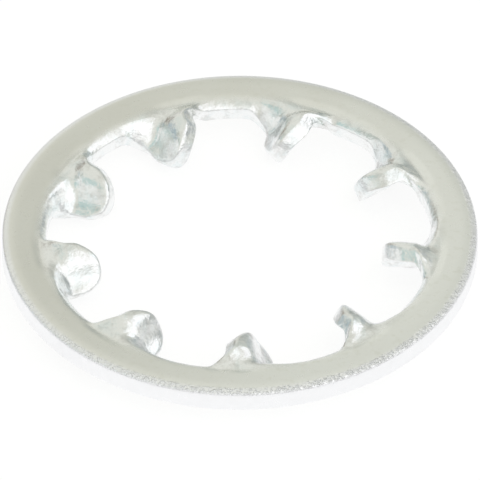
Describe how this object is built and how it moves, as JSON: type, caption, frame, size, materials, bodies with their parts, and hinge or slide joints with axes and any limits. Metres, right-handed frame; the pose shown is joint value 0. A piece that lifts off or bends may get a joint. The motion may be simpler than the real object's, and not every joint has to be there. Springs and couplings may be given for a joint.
{
  "type": "toothed lock washer",
  "caption": "Internal tooth lock washer: a flat spring steel ring whose inward teeth are twisted so that their corners bite the bolt head and the seat.",
  "frame": {"origin": "centre of the flat rim's underside, on the washer's axis", "axes": "+Z along the axis, from the rim's underside to its rolled top face; one tooth stands on the +X radial line"},
  "size_m": [0.0176, 0.0176, 0.0019],
  "materials": {
    "zinc_plated_steel": "bright zinc plated spring steel, barrel finished"
  },
  "bodies": {
    "root": {"lock_washer": "zinc_plated_steel"}
  },
  "joints": []
}
